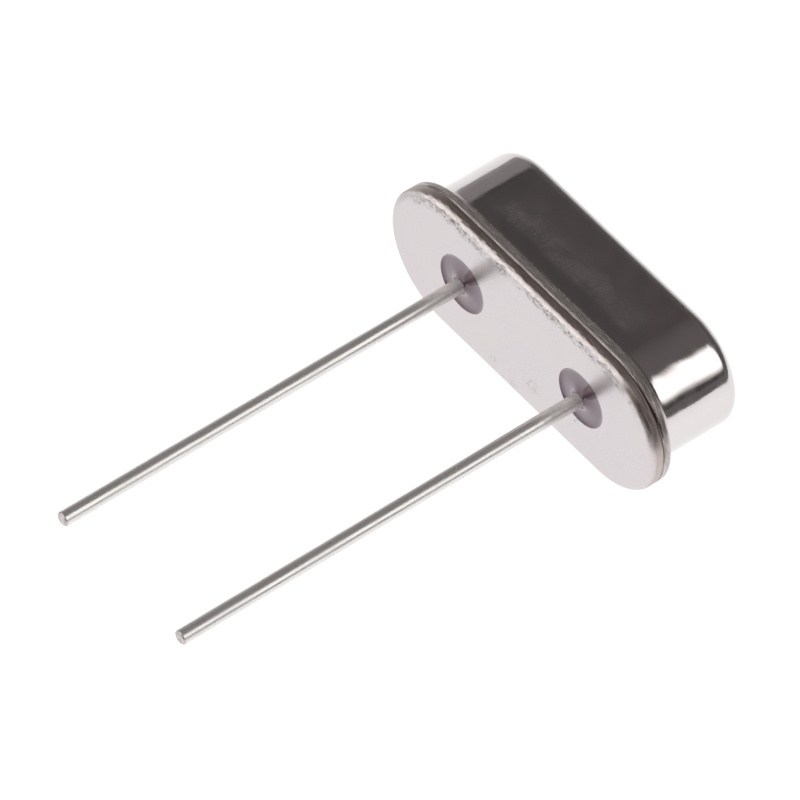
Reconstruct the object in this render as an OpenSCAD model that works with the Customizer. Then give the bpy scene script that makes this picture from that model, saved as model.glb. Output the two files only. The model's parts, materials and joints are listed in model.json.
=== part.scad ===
// A low-profile quartz crystal unit in a resistance-welded metal can, with two wire leads.
//
// Every sub-part is drawn upright, as it would stand on a circuit board: the seating face of its
// base is at z = 0, the can rises along +z, the leads point along -z and stand apart along x.
// as_it_lies() then lays the whole unit down on its broad side, where it comes to rest on the edge
// of its flange and the shoulder of its can. Lengths are in millimetres.

/* [Can] */
// Length of the drawn can, over its round ends
can_length = 9.95; // [8:0.05:12]
// Width of the drawn can, over its flat sides
can_width = 3.75; // [3:0.05:4.8]
// Height of the can's crown above the seating face
height = 3.3; // [2.7:0.05:4.2]
// Thickness of the can's sheet metal
sheet = 0.24; // [0.18:0.01:0.3]
// Outer radius of the shoulder between the can's wall and its crown
shoulder_r = 0.38; // [0.3:0.01:0.6]
// Radius in the root between the can's wall and its flange
root_r = 0.12; // [0.08:0.01:0.2]

/* [Weld flange] */
// Reach of the flange past the can's flat sides
side_reach = 0.31; // [0.25:0.01:0.5]
// Reach of the flange past the can's round ends
end_reach = 0.45; // [0.35:0.01:0.6]
// Edge radius of the can's flange
can_edge_r = 0.07; // [0.03:0.01:0.09]

/* [Base] */
// Thickness of the base at its flange
base_flange = 0.34; // [0.25:0.01:0.5]
// Height of the base's pedestal above the seating face
pedestal_top = 0.85; // [0.7:0.01:1.1]
// Gap between the pedestal and the can's wall
cover_gap = 0.05; // [0.02:0.01:0.1]
// Radius of the rolled edge round the seating face
face_edge_r = 0.15; // [0.05:0.01:0.2]
// Radius of the base flange's edge beside the weld seam
seam_edge_r = 0.05; // [0.02:0.01:0.09]

/* [Glass seals] */
// Diameter of each glass seal
seal_d = 1.77; // [1.4:0.01:2.2]
// Height to which the glass climbs its lead, outside the seating face
climb = 0.06; // [0.04:0.01:0.2]
// Depth of the dished glass below a straight line from its rim to the lead
dish = 0.1; // [0.05:0.01:0.15]

/* [Leads] */
// Distance between the centres of the two leads
lead_pitch = 4.88; // [4:0.01:5.9]
// Diameter of a lead outside the glass, over its tin plating
lead_d = 0.43; // [0.35:0.01:0.52]
// Length of a lead, from the seating face to its tip
lead_length = 13.2; // [3:0.1:16]
// Thickness of the tin plating on a lead
plating = 0.01; // [0.005:0.005:0.02]
// Radius round a lead's cut tip
tip_r = 0.07; // [0.02:0.01:0.1]
// Length of wire that shows inside the can, between the glass and the head
inner_wire = 0.12; // [0.05:0.01:0.3]
// Thickness of the head on a lead's inner end
head_t = 0.12; // [0.08:0.01:0.2]
// Reach of the head past the wire, all round
head_lip = 0.2; // [0.1:0.01:0.3]

/* [Mounting clips] */
// Thickness of the clips' ribbon
clip_t = 0.1; // [0.06:0.01:0.14]
// Width of the clips' ribbon
clip_w = 1.3; // [1:0.05:1.6]
// Width of the slot that forks each clip
slot_w = 0.5; // [0.3:0.05:0.7]
// Length of the shelf under each end of the blank
shelf = 0.95; // [0.6:0.05:1.1]
// Height of a clip's end tab above the blank
tab_rise = 0.3; // [0.1:0.05:0.4]

/* [Quartz blank] */
// Width of the quartz strip
blank_w = 1.8; // [1.5:0.05:2.1]
// Thickness of the quartz strip
blank_t = 0.17; // [0.1:0.01:0.3]
// Height of the strip's underside above the seating face
blank_z = 1.86; // [1.7:0.01:2]
// Gap between each end of the strip and the inside of the can
blank_end_gap = 0.75; // [0.6:0.05:1]
// Thickness of the silver films
film = 0.02; // [0.01:0.005:0.03]
// Length of the silver pad in the middle of each face
pad_l = 4.2; // [3:0.1:4.6]
// Width of the silver pad in the middle of each face
pad_w = 1.35; // [1:0.05:1.45]
// Width of the silver strip that leads from a pad to its clip
strip_w = 0.8; // [0.5:0.05:0.95]
// Gap between a silvered end of the strip and its clip
tab_gap = 0.04; // [0.03:0.01:0.08]
// Radius of the dots of conductive adhesive
glue_r = 0.36; // [0.2:0.01:0.4]

/* [Hidden] */
$fn = 96;

LEFT = -1;
RIGHT = 1;
// Overshoot of a cutting shape past what it cuts
past = 1;
// Depth by which the root fillet dips into the flange, so that the two surfaces cross
root_dip = 0.02;

// Weld flange
flange_length = can_length + 2 * end_reach;
flange_width = can_width + 2 * side_reach;
flange_top = base_flange + sheet;

// Inside of the can
bore_width = can_width - 2 * sheet;
bore_length = can_length - 2 * sheet;
bore_top = height - sheet;
// Bend radius of the sheet's inner face, where the wall turns out into the flange
flare_r = root_r + sheet;

// Leads and seals
lead_x = lead_pitch / 2;
wire_d = lead_d - 2 * plating;
head_low = pedestal_top + inner_wire;
head_top = head_low + head_t;
head_d = wire_d + 2 * head_lip;

// Blank and clips
blank_l = bore_length - 2 * blank_end_gap;
blank_mid = blank_z + blank_t / 2;
shelf_top = blank_z - film;
tab_face = blank_l / 2 + film + tab_gap;
tab_top = blank_z + blank_t + tab_rise;
riser_x = tab_face - shelf;
foot_in = min(lead_x - head_d / 2, riser_x);
foot_out = max(lead_x + head_d / 2, riser_x);

// Rest: the unit lies on two rounded edges, and the line that touches both is the surface.
// Each is a circle in the y-z section, given by its centre's y and z and its radius.
flange_foot = [flange_width / 2 - can_edge_r, flange_top - can_edge_r, can_edge_r];
can_foot = [can_width / 2 - shoulder_r, height - shoulder_r, shoulder_r];
foot_dy = flange_foot[0] - can_foot[0];
foot_dz = can_foot[1] - flange_foot[1];
tilt = acos((can_foot[2] - flange_foot[2]) / norm([foot_dy, foot_dz])) - atan2(foot_dz, foot_dy);
lift = flange_foot[0] * cos(tilt) + flange_foot[1] * sin(tilt) + flange_foot[2];
// How far the leads and the crown reach along the surface, either side of the seating face
tip_reach = (lead_length - tip_r) * cos(tilt) + (lead_d / 2 - tip_r) * sin(tilt) + tip_r;
crown_reach = can_foot[1] * cos(tilt) + can_foot[0] * sin(tilt) + shoulder_r;

// Lays the upright unit on its broad side, centred over the origin
module as_it_lies() {
    translate([0, (tip_reach - crown_reach) / 2, lift])
        rotate([-90 - tilt, 0, 0])
            children();
}

// Carries a section round a racetrack of the given size. The section's x is the distance from the
// racetrack's middle line, and its y is the height.
module racetrack(length, width) {
    straight = length - width;
    for (side = [LEFT, RIGHT])
        translate([side * straight / 2, 0, 0])
            rotate([0, 0, -90 * side])
                rotate_extrude(angle = 180)
                    children();
    rotate([90, 0, 90])
        linear_extrude(height = straight, center = true) {
            children();
            mirror([1, 0])
                children();
        }
}

// What a fillet of radius r leaves of a square corner
module corner_waste(r) {
    difference() {
        square(r + past);
        circle(r);
    }
}

// Section of a plate from the middle line out to reach, with a radius on each outer edge
module plate_section(reach, low, high, low_r, high_r) {
    difference() {
        translate([0, low])
            square([reach, high - low]);
        translate([reach - high_r, high - high_r])
            corner_waste(high_r);
        translate([reach - low_r, low + low_r])
            mirror([0, 1])
                corner_waste(low_r);
    }
}

// Section of the can's outside, with the fillet in its root
module can_outside() {
    difference() {
        translate([0, base_flange])
            square([can_width / 2, height - base_flange]);
        translate([can_foot[0], can_foot[1]])
            corner_waste(shoulder_r);
    }
    translate([can_width / 2, flange_top - root_dip])
        difference() {
            square(root_r);
            translate([root_r, root_r])
                circle(root_r);
        }
}

// Section of the can's inside, flared where the wall turns out into the flange
module can_inside() {
    inner_r = shoulder_r - sheet;
    difference() {
        translate([0, base_flange - past])
            square([bore_width / 2, bore_top - base_flange + past]);
        translate([bore_width / 2 - inner_r, bore_top - inner_r])
            corner_waste(inner_r);
    }
    difference() {
        translate([0, base_flange - past])
            square([bore_width / 2 + flare_r / 2, flare_r / 2 + past]);
        translate([bore_width / 2 + flare_r, base_flange + flare_r])
            circle(flare_r);
    }
}

module can_cover() {
    color("lightsteelblue")
        difference() {
            union() {
                racetrack(flange_length, flange_width)
                    plate_section(flange_width / 2, base_flange, flange_top, can_edge_r, can_edge_r);
                racetrack(can_length, can_width)
                    can_outside();
            }
            racetrack(can_length, can_width)
                can_inside();
        }
}

module base_plate() {
    color("silver")
        difference() {
            union() {
                racetrack(flange_length, flange_width)
                    plate_section(flange_width / 2, 0, base_flange, face_edge_r, seam_edge_r);
                racetrack(bore_length - 2 * cover_gap, bore_width - 2 * cover_gap)
                    plate_section(bore_width / 2 - cover_gap, base_flange / 2, pedestal_top, 0, seam_edge_r);
            }
            for (side = [LEFT, RIGHT])
                translate([side * lead_x, 0, -past])
                    cylinder(d = seal_d, h = pedestal_top + 2 * past);
        }
}

// Section of a seal: the glass climbs its lead, and an arc dishes it from there out to the rim
module seal_section() {
    rim = [seal_d / 2, 0];
    foot = [wire_d / 2, -climb];
    chord = rim - foot;
    half = norm(chord) / 2;
    dish_r = (half * half + dish * dish) / (2 * dish);
    normal = [chord[1], -chord[0]] / norm(chord);
    centre = (rim + foot) / 2 + normal * (dish_r - dish);
    difference() {
        translate([wire_d / 2, -climb])
            square([(seal_d - wire_d) / 2, pedestal_top + climb]);
        translate(centre)
            circle(dish_r);
    }
}

module glass_seal(side) {
    color("dimgray")
        translate([side * lead_x, 0, 0])
            rotate_extrude()
                seal_section();
}

// A tinned wire with a rounded tip, bare where the glass grips it, and a flat head inside the can
module lead(side) {
    color("gainsboro")
        translate([side * lead_x, 0, 0])
            rotate_extrude() {
                plate_section(lead_d / 2, -lead_length, -climb, tip_r, 0);
                translate([0, -climb - plating])
                    square([wire_d / 2, climb + plating + head_low + head_t / 2]);
                translate([0, head_low])
                    square([head_d / 2, head_t]);
            }
}

// A bar of the ribbon's thickness between two points of its section, square at both ends
module ribbon_run(from, to) {
    run = to - from;
    translate(from)
        rotate(atan2(run[1], run[0]))
            translate([-clip_t / 2, -clip_t / 2])
                square([norm(run) + clip_t, clip_t]);
}

// Section of the right-hand clip: foot on the lead's head, riser, shelf and end tab
module clip_section() {
    foot_z = head_top + clip_t / 2;
    shelf_z = shelf_top - clip_t / 2;
    tab_x = tab_face + clip_t / 2;
    ribbon_run([foot_in, foot_z], [foot_out, foot_z]);
    ribbon_run([riser_x, foot_z], [riser_x, shelf_z]);
    ribbon_run([riser_x, shelf_z], [tab_x, shelf_z]);
    ribbon_run([tab_x, shelf_z], [tab_x, tab_top]);
}

module mounting_clip(side) {
    fork_low = head_top + clip_t;
    color("khaki")
        mirror([side == LEFT ? 1 : 0, 0, 0])
            difference() {
                rotate([90, 0, 0])
                    linear_extrude(height = clip_w, center = true)
                        clip_section();
                translate([riser_x - clip_t, -slot_w / 2, fork_low])
                    cube([shelf, slot_w, shelf_top - fork_low + clip_t]);
            }
}

module quartz_blank() {
    color("lightcyan")
        translate([-blank_l / 2, -blank_w / 2, blank_z])
            cube([blank_l, blank_w, blank_t]);
}

// A silver pad on one face of the blank, with a strip that wraps round the right-hand end
module silver_film() {
    strip_l = blank_l / 2 + film;
    translate([0, 0, blank_t / 2 + film / 2])
        cube([pad_l, pad_w, film], center = true);
    for (face = [blank_t / 2, -blank_t / 2 - film]) {
        inner = face > 0 ? pad_l / 2 - film : tab_face - shelf;
        translate([inner, -strip_w / 2, face])
            cube([strip_l - inner, strip_w, film]);
    }
    translate([blank_l / 2, -strip_w / 2, -blank_t / 2 - film])
        cube([film, strip_w, blank_t + 2 * film]);
}

module electrode_upper() {
    color("white")
        translate([0, 0, blank_mid])
            silver_film();
}

module electrode_lower() {
    color("whitesmoke")
        translate([0, 0, blank_mid])
            rotate([0, 180, 0])
                silver_film();
}

// A dot of adhesive in the corner between the silvered blank and a clip's end tab
module adhesive(side) {
    color("darkgray")
        mirror([side == LEFT ? 1 : 0, 0, 0])
            translate([tab_face, 0, blank_z + blank_t + film])
                intersection() {
                    sphere(r = glue_r);
                    translate([-glue_r - past, -glue_r - past, 0])
                        cube([glue_r + past, 2 * (glue_r + past), glue_r + past]);
                }
}

as_it_lies() can_cover();
as_it_lies() base_plate();
as_it_lies() glass_seal(LEFT);  // glass_seal_left
as_it_lies() glass_seal(RIGHT);  // glass_seal_right
as_it_lies() lead(LEFT);  // lead_left
as_it_lies() lead(RIGHT);  // lead_right
as_it_lies() mounting_clip(LEFT);  // mounting_clip_left
as_it_lies() mounting_clip(RIGHT);  // mounting_clip_right
as_it_lies() quartz_blank();
as_it_lies() electrode_upper();
as_it_lies() electrode_lower();
as_it_lies() adhesive(LEFT);  // adhesive_left
as_it_lies() adhesive(RIGHT);  // adhesive_right
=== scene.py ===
"""The looks of a low-profile crystal oscillator in a resistance-welded metal can.

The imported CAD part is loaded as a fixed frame. The can, the base, the glass seals and the leads
are rebuilt here as smooth surfaces with the press, weld and tinning marks of the real ones, and
the parts shut inside the can keep their CAD shape and get their own finishes.

Shapes are worked out in millimetres in the unit's own upright frame: the seating face of the base
is at z = 0, the can rises along +z, the leads point along -z and stand apart along x. Seat.lay
carries them from there into the row frame, in metres.
"""

import json
import logging
import math
from dataclasses import dataclass, field
from enum import Enum

import bmesh
import bpy
import numpy as np
from mathutils import Matrix, Vector


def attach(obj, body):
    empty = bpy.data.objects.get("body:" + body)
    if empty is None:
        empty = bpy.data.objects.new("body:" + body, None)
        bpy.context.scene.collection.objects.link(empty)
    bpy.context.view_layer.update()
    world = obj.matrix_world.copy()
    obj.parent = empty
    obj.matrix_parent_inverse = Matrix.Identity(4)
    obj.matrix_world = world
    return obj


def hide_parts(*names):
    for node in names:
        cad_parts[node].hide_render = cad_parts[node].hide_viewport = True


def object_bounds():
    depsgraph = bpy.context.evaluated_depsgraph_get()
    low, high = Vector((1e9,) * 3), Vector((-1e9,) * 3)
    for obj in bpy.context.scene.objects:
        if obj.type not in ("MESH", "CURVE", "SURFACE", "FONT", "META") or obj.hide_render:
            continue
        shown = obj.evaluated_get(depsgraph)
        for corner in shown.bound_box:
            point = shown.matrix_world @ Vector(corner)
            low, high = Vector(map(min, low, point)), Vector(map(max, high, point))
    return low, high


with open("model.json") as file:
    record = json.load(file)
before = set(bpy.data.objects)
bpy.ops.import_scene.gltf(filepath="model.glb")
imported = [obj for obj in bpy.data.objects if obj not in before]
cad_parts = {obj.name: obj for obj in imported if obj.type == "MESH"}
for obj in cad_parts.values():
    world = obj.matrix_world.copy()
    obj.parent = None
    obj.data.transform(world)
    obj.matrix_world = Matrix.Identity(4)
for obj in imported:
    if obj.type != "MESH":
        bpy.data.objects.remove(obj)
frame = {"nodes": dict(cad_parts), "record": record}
CAD_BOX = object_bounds()

BODY = "root"
MILLIMETRE = 0.001
WELD_DISTANCE = 2e-8
TINY = 1e-6
NO_STEP = 1e-7
LEAST_DEPTH = 1e-4
FIRST_LEAD_SEED = 31
LOG = logging.getLogger("crystal_oscillator")

Array = np.ndarray
Colour = tuple[float, float, float, float]
Span = tuple[float, float]
Triple = tuple[float, float, float]
Material = bpy.types.Material
Piece = bpy.types.Object
Socket = bpy.types.NodeSocket


class Side(Enum):
    """Which of a pair of parts a piece is: the one on the left of the base, or on its right."""

    LEFT = -1
    RIGHT = 1

    @property
    def word(self) -> str:
        """The side as it stands in a node's name."""
        return self.name.lower()


# --------------------------------------------------------------------------------------------
# Frame, profiles and surfaces
# --------------------------------------------------------------------------------------------


@dataclass(frozen=True)
class Seat:
    """The unit's upright frame, as the record's seating face places it in the row frame."""

    origin: Array
    turn: Array

    @classmethod
    def from_record(cls, record: dict) -> "Seat":
        """Reads the seating face's place and direction.

        Args:
            record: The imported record.

        Returns:
            The seat. The upright z axis is the reverse of the face's own direction, x stays the
            row frame's x, and y is z cross x.
        """
        face = next(m for m in record["mounts"] if m["name"] == "seating_face")
        z_axis = -np.array(face["axis"], float)
        z_axis /= np.linalg.norm(z_axis)
        x_axis = np.array([1.0, 0.0, 0.0])
        y_axis = np.cross(z_axis, x_axis)
        return cls(np.array(face["pos_m"], float), np.stack([x_axis, y_axis, z_axis]))

    @classmethod
    def plain(cls) -> "Seat":
        """Gives a seat that only turns millimetres to metres."""
        return cls(np.zeros(3), np.eye(3))

    def lay(self, points: Array) -> Array:
        """Carries upright points into the row frame: origin + x X + y Y + z Z."""
        return self.origin + (points * MILLIMETRE) @ self.turn

    def pattern_turn(self) -> tuple[Vector, Triple]:
        """Gives the shift and turn that take a pattern from the row frame to upright millimetres.

        Returns:
            The shift in millimetres and the Euler angles, for a Mapping node that scales first.
        """
        turn = Matrix(self.turn.tolist())
        shift = -(turn @ Vector(self.origin)) / MILLIMETRE
        return shift, tuple(turn.to_euler("XYZ"))


def arc(centre: Span, radius: float, start: float, end: float, steps: int) -> Array:
    """Samples an arc of a profile: centre + radius (cos a, sin a), a running evenly in degrees.

    Args:
        centre: The arc's centre, as reach and height.
        radius: Its radius.
        start: The angle it starts at, in degrees from the direction of growing reach.
        end: The angle it ends at.
        steps: How many equal steps it takes.

    Returns:
        The points, one row each.
    """
    angle = np.radians(np.linspace(start, end, steps + 1))
    reach, height = centre[0] + radius * np.cos(angle), centre[1] + radius * np.sin(angle)
    return np.stack([reach, height], axis=1)


def run(start: Span, end: Span, steps: int) -> Array:
    """Samples a straight run in equal steps: start + t (end - start), t from 0 to 1."""
    share = np.linspace(0.0, 1.0, steps + 1)[:, None]
    return np.array(start) + share * (np.array(end) - np.array(start))


def chain(*parts: Array) -> Array:
    """Joins profile parts end to end, dropping each point that repeats the one before it.

    Args:
        *parts: The parts, in order.

    Returns:
        One profile.
    """
    points = np.concatenate(parts)
    step = np.linalg.norm(np.diff(points, axis=0), axis=1)
    return points[np.concatenate([[True], step > NO_STEP])]


def profile_normals(points: Array) -> Array:
    """Works out a profile's outward directions: its central differences turned a quarter right.

    Args:
        points: The profile, in the order that keeps its solid on the left.

    Returns:
        A unit direction at each point.
    """
    slope = np.gradient(points, axis=0)
    normal = np.stack([slope[:, 1], -slope[:, 0]], axis=1)
    return normal / np.linalg.norm(normal, axis=1, keepdims=True)


def ease(low: float, high: float, value: Array) -> Array:
    """Climbs smoothly from 0 at low to 1 at high: 3 t t - 2 t t t."""
    t = np.clip((value - low) / (high - low), 0.0, 1.0)
    return t * t * (3 - 2 * t)


def column(*parts: Array) -> Array:
    """Joins rows of numbers end to end and stands them up as one column."""
    return np.concatenate(parts)[:, None]


@dataclass(frozen=True)
class Waves:
    """Random ripples: their shortest and longest waves in millimetres, a seed and a count."""

    shortest: float
    longest: float
    seed: int
    count: int = 48

    def over(self, u: Array, v: Array, loop: float = 0.0) -> Array:
        """Sums plane waves of random direction and phase: mean of cos(ku u + kv v + p), scaled.

        Args:
            u: The first coordinate, in millimetres.
            v: The second coordinate, in millimetres.
            loop: If above 0, the length after which the pattern repeats along u.

        Returns:
            The sum at each point, with a root mean square of about 1.
        """
        draw = np.random.default_rng(self.seed)
        total = np.zeros(np.broadcast(u, v).shape)
        for _ in range(self.count):
            length = math.exp(draw.uniform(math.log(self.shortest), math.log(self.longest)))
            wave = 2 * math.pi / length
            angle, phase = draw.uniform(0, 2 * math.pi, 2)
            along = wave * math.cos(angle)
            if loop:
                along = round(along * loop / (2 * math.pi)) * 2 * math.pi / loop
            total += np.cos(along * u + wave * math.sin(angle) * v + phase)
        return total * math.sqrt(2 / self.count)


@dataclass(frozen=True)
class OvalPath:
    """Steps round an oval, anticlockwise seen from above, from the left end of its near flank.

    The scorch is where the weld scorched the rim: its angle from the flank's own direction and its
    width, in degrees, and how strong it is at the left end, against 1 at the right, the change
    falling where the outward x is between minus and plus scorch_turn.
    """

    flank_steps: int = 190
    end_steps: int = 140
    scorch_angle: float = 46.0
    scorch_width: float = 26.0
    scorch_left: float = 0.35
    scorch_turn: float = 0.1

    def frames(self) -> tuple[Array, Array]:
        """Works out the oval's steps, whatever its size.

        Returns:
            At each step the share of the half-flank, from -1 to 1, and the outward direction.
        """
        flank = np.linspace(-1, 1, self.flank_steps, endpoint=False)
        sweep = np.linspace(-math.pi / 2, math.pi / 2, self.end_steps, endpoint=False)
        share = np.concatenate([flank, np.ones_like(sweep), -flank, -np.ones_like(sweep)])
        still = np.full_like(flank, -math.pi / 2)
        angle = np.concatenate([still, sweep, still + math.pi, sweep + math.pi])
        return share, np.stack([np.cos(angle), np.sin(angle)], axis=1)

    def points(self, half_flank: float, reach: float) -> Array:
        """Gives an oval's points: (share h + r ox, r oy)."""
        share, out = self.frames()
        return np.stack([share * half_flank + reach * out[:, 0], reach * out[:, 1]], axis=1)

    def distance(self, half_flank: float, reach: float) -> tuple[Array, float]:
        """Measures the way round one oval.

        Args:
            half_flank: Half the length of its straight flank.
            reach: The radius of its ends.

        Returns:
            The distance from the start at each step, and the whole way round.
        """
        points = self.points(half_flank, reach)
        step = np.linalg.norm(np.roll(points, -1, axis=0) - points, axis=1)
        return np.concatenate([[0.0], np.cumsum(step)[:-1]]), float(step.sum())

    def scorched(self) -> Array:
        """Gives where the weld scorched the rim: exp(-((a - m) / w) to the fourth), a the outward
        direction's angle from the near flank's own.

        Returns:
            The scorch at each step, from 0 to 1.
        """
        out = self.frames()[1]
        angle = np.degrees(np.arccos(np.clip(-out[:, 1], -1, 1)))
        burn = np.exp(-(((angle - self.scorch_angle) / self.scorch_width) ** 4))
        rightward = ease(-self.scorch_turn, self.scorch_turn, out[:, 0])
        return burn * (self.scorch_left + (1 - self.scorch_left) * rightward)

    def sweep(self, profile: Array, half_flank: Array, rise: Array | None = None) -> Array:
        """Carries a profile round the oval: (share h + r ox, r oy, z), pushed along its normal.

        Args:
            profile: The profile, as reach r and height z.
            half_flank: Half the flank's length h at each point of the profile.
            rise: How far each point of the surface is pushed out, or None.

        Returns:
            The surface's points, with the oval's steps first and the profile's points second.
        """
        share, out = self.frames()
        reach = np.broadcast_to(profile[:, 0], (len(share), len(profile)))
        height = np.broadcast_to(profile[:, 1], reach.shape)
        if rise is not None:
            normal = profile_normals(profile)
            reach = reach + rise * normal[:, 0]
            height = height + rise * normal[:, 1]
        x = share[:, None] * half_flank[None, :] + reach * out[:, :1]
        return np.stack([x, reach * out[:, 1:], height], axis=2)


def revolve(profile: Array, steps: int, centre: float, rise: Array | None = None) -> Array:
    """Turns a profile round an upright axis: (c + r cos a, r sin a, z), pushed along its normal.

    Args:
        profile: The profile, as radius r and height z, with its solid on its left.
        steps: How many steps the turn takes.
        centre: The axis's x.
        rise: How far each point is pushed out, or None.

    Returns:
        The surface's points, with the turn's steps first.
    """
    angle = np.linspace(0, 2 * math.pi, steps, endpoint=False)[:, None]
    radius = np.broadcast_to(profile[:, 0], (steps, len(profile)))
    height = np.broadcast_to(profile[:, 1], radius.shape)
    if rise is not None:
        normal = profile_normals(profile)
        radius = np.where(radius > 0, radius + rise * normal[:, 0], radius)
        height = height + rise * normal[:, 1]
    return np.stack([centre + radius * np.cos(angle), radius * np.sin(angle), height], axis=2)


@dataclass
class Skin:
    """A closed surface under construction, from grids of points that meet edge to edge."""

    name: str
    points: list[Array] = field(default_factory=list)
    quads: list[Array] = field(default_factory=list)
    marks: dict[str, list[Array]] = field(default_factory=dict)
    count: int = 0

    def add(self, grid: Array, wrap: bool = True, close: bool = False, **marks: Array) -> None:
        """Adds a grid whose faces look along (first step) cross (second step).

        Args:
            grid: The points, of shape (steps, profile points, 3), in upright millimetres.
            wrap: True if the last step joins the first.
            close: True if the profile's last point joins its first.
            **marks: Values for each point, kept as attributes for the finish.
        """
        steps, height = grid.shape[:2]
        index = self.count + np.arange(steps * height).reshape(steps, height)
        if wrap:
            index = np.concatenate([index, index[:1]])
        if close:
            index = np.concatenate([index, index[:, :1]], axis=1)
        corners = [index[:-1, :-1], index[1:, :-1], index[1:, 1:], index[:-1, 1:]]
        self.points.append(grid.reshape(-1, 3))
        self.quads.append(np.stack(corners, axis=2).reshape(-1, 4))
        for key, value in marks.items():
            flat = np.broadcast_to(value, grid.shape[:2]).reshape(-1)
            self.marks.setdefault(key, []).append(flat)
        self.count += steps * height

    def finished(self, seat: Seat, crease: float) -> Piece:
        """Lays the skin in the row frame, joins its seams and poles and shades it smooth.

        Args:
            seat: The upright frame.
            crease: The angle between faces, in degrees, past which an edge stays sharp.

        Returns:
            The finished object, at the origin.
        """
        mesh = bpy.data.meshes.new(self.name)
        points = seat.lay(np.concatenate(self.points))
        quads = np.concatenate(self.quads)
        mesh.vertices.add(len(points))
        mesh.vertices.foreach_set("co", points.astype(np.float32).ravel())
        mesh.loops.add(quads.size)
        mesh.loops.foreach_set("vertex_index", quads.astype(np.int32).ravel())
        mesh.polygons.add(len(quads))
        mesh.polygons.foreach_set("loop_start", np.arange(0, quads.size, 4, dtype=np.int32))
        for key, values in self.marks.items():
            layer = mesh.attributes.new(key, "FLOAT", "POINT")
            layer.data.foreach_set("value", np.concatenate(values).astype(np.float32))
        mesh.update(calc_edges=True)
        joined = bmesh.new()
        joined.from_mesh(mesh)
        bmesh.ops.remove_doubles(joined, verts=joined.verts, dist=WELD_DISTANCE)
        joined.to_mesh(mesh)
        joined.free()
        mesh.polygons.foreach_set("use_smooth", np.ones(len(mesh.polygons), bool))
        mesh.set_sharp_from_angle(angle=math.radians(crease))
        piece = bpy.data.objects.new(self.name, mesh)
        bpy.context.scene.collection.objects.link(piece)
        return piece


# --------------------------------------------------------------------------------------------
# Finishes
# --------------------------------------------------------------------------------------------


@dataclass(frozen=True)
class Pattern:
    """Fractal noise: the width of its largest features in millimetres, its octaves, the strength
    that each octave keeps, how far it warps itself, and its coordinates' scale by axis."""

    size: float
    octaves: float = 3.0
    rough: float = 0.55
    warp: float = 0.0
    stretch: Triple | None = None


class Tree:
    """A node tree, and short ways to add to it."""

    def __init__(self, tree: bpy.types.NodeTree) -> None:
        """Takes hold of a tree."""
        self.nodes, self.links = tree.nodes, tree.links

    def feed(self, socket: Socket, value: object) -> None:
        """Links a socket to another one, or sets its value.

        Args:
            socket: The input.
            value: An output to link, or a value.
        """
        if isinstance(value, bpy.types.NodeSocket):
            self.links.new(value, socket)
        else:
            socket.default_value = value

    def put(self, kind: str, settings: dict | None = None, **sockets: object) -> bpy.types.Node:
        """Adds a node.

        Args:
            kind: The node's type.
            settings: Its own settings.
            **sockets: Its inputs by name, with _ for a space; a socket is linked, a value set.

        Returns:
            The node.
        """
        node = self.nodes.new(kind)
        for key, value in (settings or {}).items():
            setattr(node, key, value)
        for key, value in sockets.items():
            self.feed(node.inputs[key.replace("_", " ")], value)
        return node

    def pair(self, node: bpy.types.Node, first: object, second: object) -> bpy.types.Node:
        """Feeds a node's first two inputs.

        Args:
            node: The node.
            first: The first value or socket.
            second: The second one.

        Returns:
            The node.
        """
        self.feed(node.inputs[0], first)
        self.feed(node.inputs[1], second)
        return node

    def sum(self, kind: str, first: object, second: object = 0.0) -> Socket:
        """Adds a Math node of that kind on two values or sockets."""
        return self.pair(self.put("ShaderNodeMath", {"operation": kind}), first, second).outputs[0]

    def ramp(
        self, value: Socket, low: float, high: float, start: float = 0.0, end: float = 1.0
    ) -> Socket:
        """Maps low..high smoothly to start..end, and holds the ends.

        Args:
            value: The value to map.
            low: The value that gives start.
            high: The value that gives end.
            start: The result at low.
            end: The result at high.

        Returns:
            The mapped value.
        """
        settings = {"interpolation_type": "SMOOTHSTEP", "clamp": True}
        limits = {"From_Min": low, "From_Max": high, "To_Min": start, "To_Max": end}
        node = self.put("ShaderNodeMapRange", settings, Value=value, **limits)
        return node.outputs["Result"]


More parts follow.
